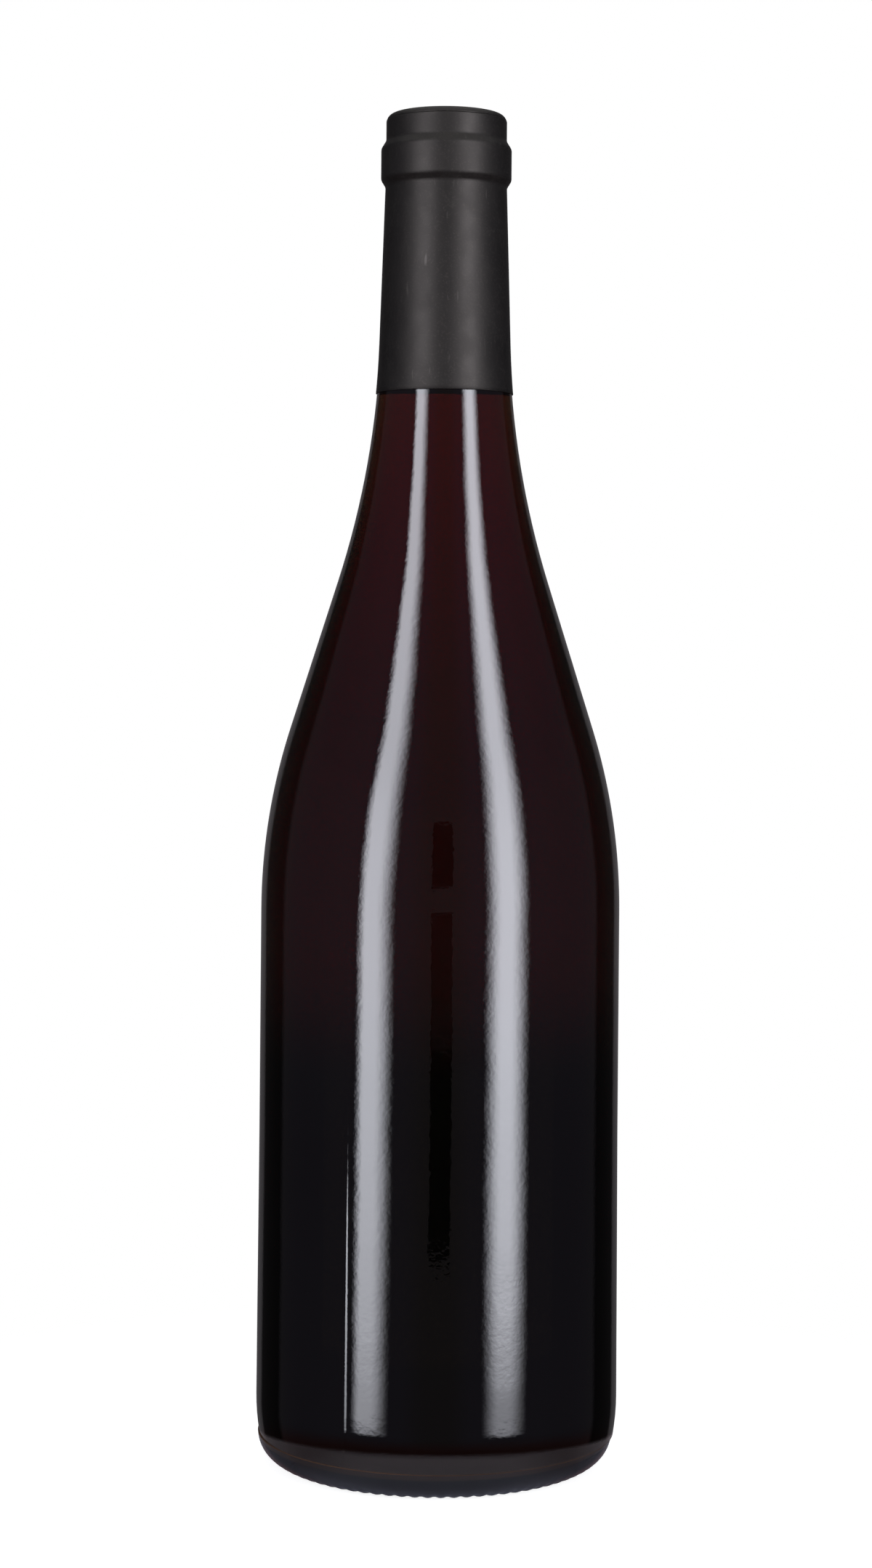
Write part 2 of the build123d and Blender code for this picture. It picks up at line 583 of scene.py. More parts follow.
@dataclass(frozen=True)
class BottleShape:
    """The sizes of the bottle and the lines that they give, in millimetres."""

    body_radius: float = 40.0
    body_height: float = 143.0
    swell_height: float = 73.0  # the body widens from here down to the heel
    heel_radius: float = 40.215  # at the bottle's widest place
    heel_height: float = 14.5
    seam_radius: float = 39.5  # where the mould's body meets its base plate
    seam_height: float = 6.2
    seam_step: float = 0.05  # how far the plate's edge lies inside that
    step_rise: float = 0.055  # from the plate's top edge up to the body's own edge
    # The rounded ledge from the plate's edge up to the heel's curve.
    ledge_out: tuple[float, ...] = (0.0, 0.01, 0.03, 0.04, 0.05, 0.09)
    ledge_up: tuple[float, ...] = (0.0, 0.04, 0.07, 0.20, 0.27, 0.50)
    ledge_height: float = 0.6  # the heel's own curve goes on above this
    bearing_outer: float = 33.0
    bearing_inner: float = 31.05
    bearing_fillet: float = 1.5
    punt_depth: float = 22.0
    crown_radius: float = 8.0
    crown_fillet: float = 12.0
    neck_foot_radius: float = 15.3
    neck_foot: float = 221.5
    neck_top_radius: float = 13.35
    shoulder_fillet: float = 134.0
    neck_fillet: float = 198.0
    ring_radius: float = 14.35
    ring_foot: float = 285.3
    ring_top: float = 292.2
    ring_slope: float = 1.6
    ring_fillet: float = 1.6
    lip_slope: float = 1.8
    lip_radius: float = 13.25
    lip_fillet: float = 1.6
    rim_height: float = 299.8
    mouth_radius: float = 9.25
    mouth_fillet: float = 0.8
    body_wall: float = 2.35
    neck_wall: float = 4.2
    base_thickness: float = 5.5
    heel_inner_fillet: float = 4.5
    trough_fillet: float = 4.0

    def upper_line(self, skin: float, end: float, spacing: Spacing) -> np.ndarray:
        """The outside from the middle of the body up and over the rim, grown by skin.

        Args:
            skin: How far outside the glass the line runs.
            end: The radius at which the line stops on top.
            spacing: How close together the points lie.

        Returns:
            Points as (radius, height).
        """
        corners = [
            (self.body_radius + skin, self.swell_height),
            (self.body_radius + skin, self.body_height),
            (self.neck_foot_radius + skin, self.neck_foot),
            (self.neck_top_radius + skin, self.ring_foot - self.ring_slope),
            (self.ring_radius + skin, self.ring_foot),
            (self.ring_radius + skin, self.ring_top),
            (self.lip_radius + skin, self.ring_top + self.lip_slope),
            (self.lip_radius + skin, self.rim_height + skin),
            (end, self.rim_height + skin),
        ]
        bends = [self.shoulder_fillet + skin, self.neck_fillet - skin]
        radii = bends + 4 * [self.ring_fillet] + [self.lip_fillet + skin]
        return rounded_line(corners, radii, spacing)

    def cavity_line(self, growth: float, spacing: Spacing) -> np.ndarray:
        """The inside of the glass from the mouth down to the axis, grown into the wall.

        Args:
            growth: How far into the wall the line runs.
            spacing: How close together the points lie.

        Returns:
            Points as (radius, height).
        """
        wall = self.body_radius - self.body_wall + growth
        floor = self.base_thickness - growth
        crown = self.punt_depth + self.base_thickness - growth
        corners = [
            (self.mouth_radius + growth, self.rim_height - self.mouth_fillet),
            (self.neck_foot_radius - self.neck_wall + growth, self.neck_foot),
            (wall, self.body_height),
            (wall, floor),
            (self.bearing_inner, floor),
            (self.crown_radius, crown),
            (0.0, crown),
        ]
        radii = [
            self.neck_fillet + self.neck_wall - growth,
            self.shoulder_fillet - self.body_wall + growth,
            self.heel_inner_fillet,
            self.trough_fillet,
            self.crown_fillet,
        ]
        return rounded_line(corners, radii, spacing)

    def base_line(self) -> np.ndarray:
        """The underside from the axis out, and the heel up to the middle of the body.

        Two arcs meet at the seam: one from the bearing ring, tangent to the ground, and
        one down from the heel's widest place, tangent to the vertical. A small rounded
        ledge leads from the first to the second.

        Returns:
            Points as (radius, height).
        """
        corners = [
            (0.0, self.punt_depth),
            (self.crown_radius, self.punt_depth),
            (self.bearing_inner, 0.0),
            (self.bearing_outer, 0.0),
        ]
        radii = [self.crown_fillet, self.bearing_fillet]
        under = rounded_line(corners, radii, UNDERSIDE)

        plate_edge = (self.seam_radius - self.seam_step, self.seam_height)
        plate = tangent_arc(corners[-1], plate_edge, (1, 0), PLATE)

        up = np.array(self.ledge_up)
        start = np.where(up < self.step_rise, plate_edge[0], self.seam_radius)
        ledge = np.column_stack([start + self.ledge_out, self.seam_height + up])

        widest = (self.heel_radius, self.heel_height)
        seam = (self.seam_radius, self.seam_height)
        heel = tangent_arc(widest, seam, (0, -1), HEEL)[::-1]
        heel = heel[heel[:, 1] > self.seam_height + self.ledge_height]

        body = (self.body_radius, self.swell_height)
        return join(under, plate, ledge, heel, straight(widest, body, OUTSIDE))


class Band(IntEnum):
    """The bottle's finishes, by their place in its list of materials."""

    OUTSIDE = 0
    INSIDE = 1
    MOULD_LINE = 2


@dataclass
class GlassBottle:
    """The glass: one closed wall, with the marks of its mould."""

    shape: BottleShape
    columns: int = 390
    knurls: int = 78
    knurl_depth: float = 0.42
    knurl_top: float = 3.0  # the knurls are lower than this
    knurl_inner: Range = (30.2, 31.2)  # radii between which they appear
    knurl_outer: Range = (35.0, 38.6)  # and between which they are gone again
    knurl_falloff: float = 1.5  # the power of the fading
    plate_shift: float = -0.32  # how far the mould's base plate sat to one side
    plate_inner: Range = (31.5, 33.5)  # radii between which the shift sets in
    seam_angles: tuple[float, float] = (-119.1, 60.9)  # degrees from +X
    seam_columns: tuple[float, ...] = (0.0, 0.12, 0.24, 0.36, 0.5, 0.75)  # mm to each side
    seam_clearance: float = 0.12  # mm from those to the nearest even column
    seam_half_width: float = 0.28
    seam_height: float = 0.07
    # Heights, and the share of seam_height by which the seams stand out there.
    seam_heights: tuple[float, ...] = (6.0, 7.5, 12, 40, 62, 70, 95, 150, 215)
    seam_shares: tuple[float, ...] = (0, 0.5, 1, 0.9, 0.5, 0.12, 0.2, 0.22, 0)
    line_middle: float = 0.085  # height of the bright mould line over the seam
    line_half: float = 0.07

    def angles(self) -> np.ndarray:
        """Even angles, with extra ones close together at the two mould seams.

        Returns:
            The angles in radians, in order.
        """
        even = even_angles(self.columns)
        offsets = np.array(self.seam_columns) / self.shape.body_radius
        offsets = np.concatenate([-offsets[:0:-1], offsets])
        close = (np.radians(self.seam_angles)[:, None] + offsets).ravel() % FULL_TURN
        gap = np.abs(even[:, None] - close).min(axis=1) * self.shape.body_radius
        return np.sort(np.concatenate([even[gap > self.seam_clearance], close]))

    def knurl(self, grid: np.ndarray, angles: np.ndarray) -> None:
        """Lift the bearing ring between its crests.

        The lift is the knurl's depth times 1 - |cos(n a / 2)| for n knurls, which gives
        round crests and sharp valleys. It fades to nothing inside and outside the ring.

        Args:
            grid: The glass's places, changed in place.
            angles: Angles round the axis, in radians.
        """
        radius = np.hypot(grid[..., 0], grid[..., 1])
        inside = np.interp(radius, self.knurl_inner, (0, 1))
        outside = np.interp(radius, self.knurl_outer, (1, 0))
        share = (inside * outside) ** self.knurl_falloff * (grid[..., 2] < self.knurl_top)
        wave = 1 - np.abs(np.cos(self.knurls * angles / 2))[:, None]
        grid[..., 2] += self.knurl_depth * wave * share

    def raise_seams(self, grid: np.ndarray, angles: np.ndarray) -> None:
        """Raise the two vertical seams that the halves of the mould leave.

        The ridge is exp(-(s / w)^2) across, for a distance s round the surface. It is
        proudest below, and is almost polished away from a quarter of the height up.

        Args:
            grid: The glass's places, changed in place.
            angles: Angles round the axis, in radians.
        """
        radius = np.hypot(grid[..., 0], grid[..., 1])
        along = np.interp(grid[..., 2], self.seam_heights, self.seam_shares)
        away = angles[:, None] - np.radians(self.seam_angles)
        away = np.abs((away + math.pi) % FULL_TURN - math.pi).min(axis=1)[:, None]
        across = np.exp(-((away * radius / self.seam_half_width) ** 2))
        factor = 1 + self.seam_height * along * across / np.maximum(radius, 1.0)
        grid[..., :2] *= factor[..., None]

    def shift_plate(self, grid: np.ndarray) -> None:
        """Shift what the mould's base plate shaped, along +X.

        Args:
            grid: The glass's places, changed in place.
        """
        low = grid[..., 2] < self.shape.seam_height + self.shape.step_rise
        radius = np.hypot(grid[..., 0], grid[..., 1])
        grid[..., 0] += self.plate_shift * low * np.interp(radius, self.plate_inner, (0, 1))

    def build(
        self,
        outer: bpy.types.Material,
        inner: bpy.types.Material,
        line: bpy.types.Material,
    ) -> bpy.types.Object:
        """Make the glass.

        Args:
            outer: The finish of the outside.
            inner: The finish of the inside.
            line: The finish of the mould's line round the heel.

        Returns:
            The Blender object.
        """
        shape = self.shape
        rim_end = (shape.mouth_radius + shape.mouth_fillet, shape.rim_height)
        mouth = (shape.mouth_radius, shape.rim_height - shape.mouth_fillet)
        outside = join(shape.base_line(), shape.upper_line(0.0, rim_end[0], OUTSIDE))
        bend = tangent_arc(rim_end, mouth, (-1, 0), MOUTH)
        profile = join(outside, bend, shape.cavity_line(0.0, INSIDE))
        angles = self.angles()
        grid = carry_round(profile, angles)
        self.shift_plate(grid)
        self.knurl(grid, angles)
        self.raise_seams(grid[:, : len(outside)], angles)

        inside = np.arange(len(profile) - 1) >= len(outside) + len(bend) - 1
        bands = np.where(inside, Band.INSIDE, Band.OUTSIDE)
        radius, height = middles(profile).T
        off_line = np.abs(height - shape.seam_height - self.line_middle)
        on_line = (radius > shape.bearing_outer) & (off_line < self.line_half)
        bands[on_line] = Band.MOULD_LINE
        log.info("glass profile %d points, %d columns", len(profile), len(angles))
        return grid_piece("glass_bottle", grid, True, [outer, inner, line], bands)


@dataclass
class WineFill:
    """The wine, up to a level that the capsule hides."""

    shape: BottleShape
    level: float = 244.8
    reach: float = 0.2  # how far it reaches into the wall, so that no air shows
    climb: float = 1.3  # how far its edge climbs the glass
    climb_width: float = 1.2
    edge_gap: float = 0.2  # mm from the edge down to the side's own points, at least
    edge_points: tuple[float, ...] = (0.0, 0.3, 0.8, 1.6, 3.0, 5.0)  # mm in from the edge
    columns: int = 180

    def build(self, finish: bpy.types.Material) -> bpy.types.Object:
        """Make the wine, with the curved edge that it draws up the glass.

        At a distance s in from its edge, the surface has sunk by c (1 - exp(-s / w)),
        for a climb c and a width w.

        Args:
            finish: The wine's material.

        Returns:
            The Blender object.
        """
        line = self.shape.cavity_line(self.reach, WINE_SIDE)[::-1]
        rising = line[np.argmin(line[:, 1]) :]
        radius = float(np.interp(self.level, rising[:, 1], rising[:, 0]))
        side = line[line[:, 1] < self.level - self.edge_gap]
        inwards = np.array(self.edge_points)
        sunk = self.climb * (1 - np.exp(-inwards / self.climb_width))
        top = np.column_stack([radius - inwards, self.level - sunk])
        profile = np.concatenate([side, top, [[0.0, top[-1, 1]]]])
        grid = carry_round(profile, even_angles(self.columns))
        return grid_piece("wine_fill", grid, True, [finish])


@dataclass
class Capsule:
    """The capsule: a sleeve shrunk on to neck and ring, and a pressed disc on top."""

    shape: BottleShape
    foil: float = 0.2
    crease: float = 0.05  # how far the sleeve stands out past the disc's rim
    foot: float = 237.5
    seam: float = 298.6  # where the disc's rim meets the sleeve
    lining: float = 0.03  # the gap that the foil keeps to the glass
    top_drop: float = 0.12  # the sleeve turns in from this far under the seam
    top_turn: Pair = (-0.03, 0.1)  # its first step in and up
    top_edge: Pair = (-0.2, -0.02)  # its inner edge, from the seam
    cut_inside: float = 0.02  # the cut edge is worn round by this much inside
    cut_outside: Pair = (-0.05, 0.06)  # and by this much in and up outside
    rim_drop: float = 0.1  # the disc's rim hangs down by this much
    rim_wear: Pair = (-0.04, 0.05)  # and its edge is worn round by this much
    columns: int = 260

    def outside(self, skin: float) -> np.ndarray:
        """The capsule's outside from the sleeve's foot to the axis.

        Args:
            skin: How far outside the glass the line runs.

        Returns:
            Points as (radius, height).
        """
        line = self.shape.upper_line(skin, 0.0, CAPSULE_SIDE)
        radius = np.interp(self.foot, line[:-1, 1], line[:-1, 0])
        return np.concatenate([[[radius, self.foot]], line[line[:, 1] > self.foot]])

    def build_skirt(self, finish: bpy.types.Material) -> bpy.types.Object:
        """Make the sleeve, with its clean cut edge below and its crease on top.

        Args:
            finish: The film's material.

        Returns:
            The Blender object.
        """
        outer = self.outside(self.foil + self.crease)
        inner = self.outside(self.lining)
        outer, inner = (line[line[:, 1] < self.seam - self.top_drop] for line in (outer, inner))
        turned = outer[-1] + self.top_turn
        closed = (outer[-1][0] + self.top_edge[0], self.seam + self.top_edge[1])
        wear_in, wear_up = self.cut_outside
        cut = [
            inner[0] + (self.cut_inside, 0.0),
            outer[0] + (wear_in, 0.0),
            outer[0] + (0.0, wear_up),
        ]
        profile = np.concatenate([cut, outer[1:], [turned, closed], inner[:0:-1]])
        grid = carry_round(profile, even_angles(self.columns))
        return grid_piece("capsule_sleeve", grid, False, [finish])

    def build_disc(
        self, finish: bpy.types.Material, shaded_face: bpy.types.Material
    ) -> bpy.types.Object:
        """Make the disc that closes the top, with painted shade on its flat face: a glossless
        copy of the film.

        Args:
            finish: The film's material, for the disc's rim.
            shaded_face: The material of its flat face, a copy of the film without gloss, as
                painted shade.

        Returns:
            The Blender object.
        """
        outer, inner = self.outside(self.foil), self.outside(self.lining)
        start = self.seam + self.rim_drop
        outer, inner = (line[line[:, 1] > start] for line in (outer, inner))
        wear_in, wear_up = self.rim_wear
        edge = [
            inner[0] + (0.0, -self.rim_drop),
            outer[0] + (wear_in, -self.rim_drop),
            outer[0] + (0.0, wear_up - self.rim_drop),
        ]
        outer, inner = (line[line[:, 0] > 0] for line in (outer, inner))
        foot, tip = (0.0, inner[-1, 1]), (0.0, outer[-1, 1])
        profile = np.concatenate([[foot], inner[::-1], edge, outer, [tip]])
        # Painted shade: the flat face takes the copy of the film without gloss.
        face = middles(profile)[:, 1] > self.shape.rim_height + self.foil / 2
        grid = carry_round(profile, even_angles(self.columns))
        return grid_piece("capsule_top_disc", grid, True, [finish, shaded_face], face.astype(int))


# --- Studio -----------------------------------------------------------------------
# Its places and sizes are in metres.
def bearing(
    tree: bpy.types.NodeTree, vector: bpy.types.NodeSocket
) -> tuple[bpy.types.NodeSocket, bpy.types.NodeSocket]:
    """Work out where a vector points: atan2(x, -y) in degrees, and z.

    Args:
        tree: The node tree.
        vector: A place or a direction.

    Returns:
        The degrees round the axis from the front, plus to the right, and the height.
    """
    parts = add_node(tree, "SeparateXYZ", (vector,))
    forward = add_node(tree, "Math", (parts["Y"], -1.0), operation="MULTIPLY")[0]
    turned = add_node(tree, "Math", (parts["X"], forward), operation="ARCTAN2")[0]
    return add_node(tree, "Math", (turned,), operation="DEGREES")[0], parts["Z"]


def stage_piece(
    name: str,
    places: Sequence[Sequence[float]],
    faces: Sequence[Sequence[int]],
    material: bpy.types.Material,
) -> bpy.types.Object:
    """Make a piece of the stage.

    Args:
        name: The piece's name.
        places: Its corners, in metres.
        faces: For each face, the places of its corners in places.
        material: Its paint.

    Returns:
        The Blender object.
    """
    mesh = bpy.data.meshes.new(name)
    mesh.from_pydata(places, [], faces)
    mesh.materials.append(material)
    piece = bpy.data.objects.new(name, mesh)
    bpy.context.scene.collection.objects.link(piece)
    log.info("%s: part of the stage", name)
    return piece


@dataclass(frozen=True)
class SoftBox:
    """A tall soft box, whose light fades out towards its edges and its foot.

    The bearings are degrees round the axis from the front. The light is full between
    full_from and full_to, and gone at dark_from and dark_to. The box leans towards the
    right by lean degrees for each metre of height.
    """

    name: str
    dark_from: float
    full_from: float
    full_to: float
    dark_to: float
    radiance: float
    lean: float
    foot: Range  # heights where its light is at foot_level, and full
    foot_level: float
    top_level: float  # at the upper end of top
    foot_edge: float = 0.055  # metres over which it goes out under its foot
    slope: Range = (-0.36, -0.05)
    slope_level: float = 0.76  # at the lower end of slope
    top: Range = (0.25, 1.1)
    colour: str = "#F3F5FF"
    margin: float = 3.0  # degrees of dark cloth on each side
    distance: float = 1.6
    low: float = -0.62
    high: float = 1.5

    def build(self) -> None:
        """Hang the lamp, facing the axis."""
        middle = math.radians((self.dark_from + self.dark_to) / 2)
        half = (self.dark_to - self.dark_from) / 2 + self.margin + self.lean * self.high
        lamp = bpy.data.lights.new(self.name, "AREA")
        lamp.shape = "RECTANGLE"
        lamp.size = 2 * self.distance * math.tan(math.radians(half))
        lamp.size_y = self.high - self.low
        lamp.energy = self.radiance * math.pi * lamp.size * lamp.size_y
        lamp.color = linear(self.colour)[:3]
        lamp.use_nodes = True
        self.shade(lamp.node_tree)
        box = bpy.data.objects.new(self.name, lamp)
        box.location = (
            math.sin(middle) * self.distance,
            -math.cos(middle) * self.distance,
            (self.high + self.low) / 2,
        )
        box.rotation_euler = (math.pi / 2, 0.0, middle)
        box.visible_camera = False
        box.visible_transmission = False
        bpy.context.scene.collection.objects.link(box)

    def shade(self, tree: bpy.types.NodeTree) -> None:
        """Spread the light over the box: the product of one fade for each edge.

        Args:
            tree: The lamp's node tree.
        """
        tree.nodes.clear()
        turned, height = bearing(tree, add_node(tree, "NewGeometry")["Position"])
        upright = (height, -self.lean, turned)
        turned = add_node(tree, "Math", upright, operation="MULTIPLY_ADD")[0]
        level = 1.0
        for fade in (
            (turned, self.dark_from, self.full_from, 0.0, 1.0),
            (turned, self.full_to, self.dark_to, 1.0, 0.0),
            (height, *self.foot, self.foot_level, 1.0),
            (height, self.foot[0] - self.foot_edge, self.foot[0], 0.0, 1.0),
            (height, *self.slope, self.slope_level, 1.0),
            (height, *self.top, 1.0, self.top_level),
        ):
            factor = add_node(tree, "MapRange", fade, **SMOOTH)[0]
            level = add_node(tree, "Math", (level, factor), operation="MULTIPLY")[0]
        light = add_node(tree, "Emission", {"Strength": level})[0]
        add_node(tree, "OutputLight", {"Surface": light})


@dataclass(frozen=True)
class Room:
    """The dim room round the bottle, with a white backdrop and black side flags.

    The camera meets the white backdrop. Gloss meets the room: dim in front, black at
    the flags, and dim behind them. What is seen through the glass is a panel behind the
    bottle, which fades out upwards. Bearings are degrees from the front, the same to
    both sides, and a rise is the height part of a direction of length 1.
    """

    fill: str = "#5C6066"  # what lights matt surfaces
    front: str = "#6A6467"
    sides: str = "#706B78"
    behind: str = "#696669"
    low_down: str = "#8F5E5C"
    sides_turn: Range = (6.0, 24.0)  # bearings where front turns to sides
    behind_turn: Range = (100.0, 130.0)  # and where sides turns to behind
    low_rise: Range = (-0.40, -0.28)  # low_down below, and none of it above
    near_turn: Range = (55.0, 116.5)  # the front's light falls off between these
    near_level: float = 0.6
    flag_in: Range = (115.5, 121.5)
    flag_out: Range = (146.5, 152.5)
    flag_level: float = 0.14
    behind_level: float = 0.9
    lower_rise: Range = (-0.17, -0.07)
    lower_level: float = 0.75
    lowest_rise: Range = (-0.42, -0.26)
    lowest_level: float = 0.45
    ceiling: float = 0.9
    ceiling_rise: Range = (0.64, 0.82)
    panel_turn: Range = (122.0, 172.0)
    panel_levels: Range = (0.22, 0.96)
    panel_rise: Range = (0.26, 0.36)  # the panel fades out upwards between these

    def build(self) -> None:
        """Make the world."""
        world = bpy.data.worlds.new("white_backdrop_in_dim_room")
        bpy.context.scene.world = world
        world.use_nodes = True
        tree = world.node_tree
        tree.nodes.clear()
        turned, rise = bearing(tree, add_node(tree, "TexCoord")["Generated"])
        side = add_node(tree, "Math", (turned,), operation="ABSOLUTE")[0]
        path = add_node(tree, "LightPath")

        overhead = (rise, *self.ceiling_rise, 0.0, 1.0)
        gloss = (
            (path["Is Glossy Ray"], self.room(tree, side, rise)),
            (add_node(tree, "MapRange", overhead, **SMOOTH)[0], 3 * (self.ceiling,) + (1.0,)),
            (path["Is Transmission Ray"], self.panel(tree, side, rise)),
            (path["Is Camera Ray"], WHITE),
        )
        seen = linear(self.fill)
        for share, other in gloss:
            mix = {"Factor": share, "A": seen, "B": other}
            seen = add_node(tree, "Mix", mix, data_type="RGBA")["Result"]
        sky = add_node(tree, "Background", {"Color": seen})[0]
        add_node(tree, "OutputWorld", {"Surface": sky})

    def room(
        self,
        tree: bpy.types.NodeTree,
        side: bpy.types.NodeSocket,
        rise: bpy.types.NodeSocket,
    ) -> bpy.types.NodeSocket:
        """Colour the room that gloss shows: a hue times a level.

        Args:
            tree: The world's node tree.
            side: The bearing, without its sign.
            rise: The rise.

        Returns:
            The colour.
        """
        hue = linear(self.front)
        for fade, other in (
            ((side, *self.sides_turn, 0.0, 1.0), self.sides),
            ((side, *self.behind_turn, 0.0, 1.0), self.behind),
            ((rise, *self.low_rise, 1.0, 0.0), self.low_down),
        ):
            share = add_node(tree, "MapRange", fade, **SMOOTH)[0]
            mix = {"Factor": share, "A": hue, "B": linear(other)}
            hue = add_node(tree, "Mix", mix, data_type="RGBA")["Result"]
        near, before, after, lower, lowest = (
            add_node(tree, "MapRange", fade, **SMOOTH)[0]
            for fade in (
                (side, *self.near_turn, 1.0, self.near_level),
                (side, *self.flag_in, 1.0, self.flag_level / self.near_level),
                (side, *self.flag_out, 0.0, self.behind_level - self.flag_level),
                (rise, *self.lower_rise, self.lower_level, 1.0),
                (rise, *self.lowest_rise, self.lowest_level, 1.0),
            )
        )
        level = add_node(tree, "Math", (near, before, after), operation="MULTIPLY_ADD")[0]
        for factor in (lower, lowest):
            level = add_node(tree, "Math", (level, factor), operation="MULTIPLY")[0]
        scaled = {"Vector": hue, "Scale": level}
        return add_node(tree, "VectorMath", scaled, operation="SCALE")["Vector"]

    def panel(
        self,
        tree: bpy.types.NodeTree,
        side: bpy.types.NodeSocket,
        rise: bpy.types.NodeSocket,
    ) -> bpy.types.NodeSocket:
        """Light the panel that shows through the glass: brightest straight behind.

        Args:
            tree: The world's node tree.
            side: The bearing, without its sign.
            rise: The rise.

        Returns:
            The colour.
        """
        width = (side, *self.panel_turn, *self.panel_levels)
        height = (rise, *self.panel_rise, 1.0, 0.0)
        fades = [add_node(tree, "MapRange", fade, **SMOOTH)[0] for fade in (width, height)]
        level = add_node(tree, "Math", fades, operation="MULTIPLY")[0]
        scaled = {"Vector": WHITE[:3], "Scale": level}
        return add_node(tree, "VectorMath", scaled, operation="SCALE")["Vector"]


@dataclass(frozen=True)
class Floor:
    """The pale floor that the bottle stands on.

    The camera sees it lit up to white, with the bottle's soft shadow on it. In gloss
    only the small stand under the bottle shows, with painted shadow near its middle, as
    the room drops away round it. Seen through the glass, the floor is painted dark, as
    shade, and it ends at the table's edge.
    """

    half: float = 0.8
    colour: str = "#E6E6E6"
    under: str = "#BBBBCB"  # painted shadow under the bottle, as the base plate mirrors it
    round_about: str = "#E4D6DA"  # as the heel mirrors it
    ring: Range = (0.044, 0.047)  # radii where the painted shadow, under, turns to round_about
    painted_shade_seen_through: str = "#181818"  # painted shade, as seen through the bottle
    stand: Range = (0.047, 0.055)  # the stand ends between these radii
    stand_forward: float = 0.0118
    aside: Range = (26.0, 62.0)  # bearings where the stand starts to thin out, and is thin
    aside_share: float = 0.62
    table: Range = (0.15, 0.17)
    shadow: Range = (0.06, 0.16)  # the radii where the shadow is deepest, and gone
    white_share: float = 0.6  # of what the camera sees at the bottle's foot
    lamp_level: float = 0.3  # what the lamps alone make of the floor's colour

    def build(self) -> None:
        """Lay the floor."""
        material, tree = new_material("pale_floor")
        place = add_node(tree, "TexCoord")["Object"]
        radius = add_node(tree, "VectorMath", (place,), operation="LENGTH")["Value"]
        path = add_node(tree, "LightPath")
        rays = (path["Is Glossy Ray"], path["Is Transmission Ray"])
        mirrored = add_node(tree, "Math", rays, operation="SUBTRACT")[0]
        paint, white, fill = self.paint(tree, radius, path, mirrored)
        lit = add_node(tree, "MixShader", (fill, paint, white))[0]
        clear = add_node(tree, "BsdfTransparent")[0]
        drop = self.drop(tree, place, radius, path["Is Transmission Ray"], mirrored)
        whole = add_node(tree, "MixShader", (drop, lit, clear))[0]
        add_node(tree, "OutputMaterial", {"Surface": whole})
        h = self.half
        corners = [(-h, -h, 0), (h, -h, 0), (h, h, 0), (-h, h, 0)]
        stage_piece("floor", corners, [(0, 1, 2, 3)], material)

    def paint(
        self,
        tree: bpy.types.NodeTree,
        radius: bpy.types.NodeSocket,
        path: bpy.types.bpy_prop_collection,
        mirrored: bpy.types.NodeSocket,
    ) -> tuple[bpy.types.NodeSocket, bpy.types.NodeSocket, bpy.types.NodeSocket]:
        """Make the floor's paint, with painted shade where it shows through the glass and
        painted shadow where the glass mirrors it, and the white that the camera sees over it.

        Args:
            tree: The floor's node tree.
            radius: The distance from the axis.
            path: The outputs of a Light Path node.
            mirrored: 1 for what a surface mirrors, and 0 for the rest.

        Returns:
            The paint, the white, and the white's share.
        """
        seen = linear(self.colour)
        # Painted shadow in what the glass mirrors: under, darker near the bottle, turns to
        # round_about further out.
        ring = add_node(tree, "MapRange", (radius, *self.ring, 0.0, 1.0), **SMOOTH)[0]
        gloss = {"Factor": ring, "A": linear(self.under), "B": linear(self.round_about)}
        gloss = add_node(tree, "Mix", gloss, data_type="RGBA")["Result"]
        # Painted shade where the floor shows through the glass, then the painted shadow where
        # the glass mirrors it.
        for share, other in (
            (path["Is Transmission Ray"], linear(self.painted_shade_seen_through)),
            (mirrored, gloss),
        ):
            mix = {"Factor": share, "A": seen, "B": other}
            seen = add_node(tree, "Mix", mix, data_type="RGBA")["Result"]
        near = (1 - (1 - self.white_share) * self.lamp_level) / self.white_share
        share = (radius, *self.shadow, self.white_share, 1.0)
        share = add_node(tree, "MapRange", share, **SMOOTH)[0]
        level = add_node(tree, "MapRange", (radius, *self.shadow, near, 1.0), **SMOOTH)[0]
        fill = (path["Is Camera Ray"], share)
        return (
            add_node(tree, "BsdfDiffuse", {"Color": seen})[0],
            add_node(tree, "Emission", {"Strength": level})[0],
            add_node(tree, "Math", fill, operation="MULTIPLY")[0],
        )

    def drop(
        self,
        tree: bpy.types.NodeTree,
        place: bpy.types.NodeSocket,
        radius: bpy.types.NodeSocket,
        through: bpy.types.NodeSocket,
        mirrored: bpy.types.NodeSocket,
    ) -> bpy.types.NodeSocket:
        """Work out where the floor gives way to the room.

        Args:
            tree: The floor's node tree.
            place: The place on the floor.
            radius: Its distance from the axis.
            through: 1 for what is seen through glass, and 0 for the rest.
            mirrored: 1 for what a surface mirrors, and 0 for the rest.

        Returns:
            1 where the floor has given way, and 0 where it lies.
        """
        middle = (place, (0.0, -self.stand_forward, 0.0))
        forward = add_node(tree, "VectorMath", middle, operation="DISTANCE")["Value"]
        turned = add_node(tree, "Math", (bearing(tree, place)[0],), operation="ABSOLUTE")[0]
        stand, aside, table = (
            add_node(tree, "MapRange", fade, **SMOOTH)[0]
            for fade in (
                (forward, *self.stand, 0.0, 1.0),
                (turned, *self.aside, 0.0, self.aside_share),
                (radius, *self.table, 0.0, 1.0),
            )
        )
        past_stand = add_node(tree, "Math", (stand, aside), operation="MAXIMUM")[0]
        past_table = add_node(tree, "Math", (through, table), operation="MULTIPLY")[0]
        both = (mirrored, past_stand, past_table)
        return add_node(tree, "Math", both, operation="MULTIPLY_ADD")[0]


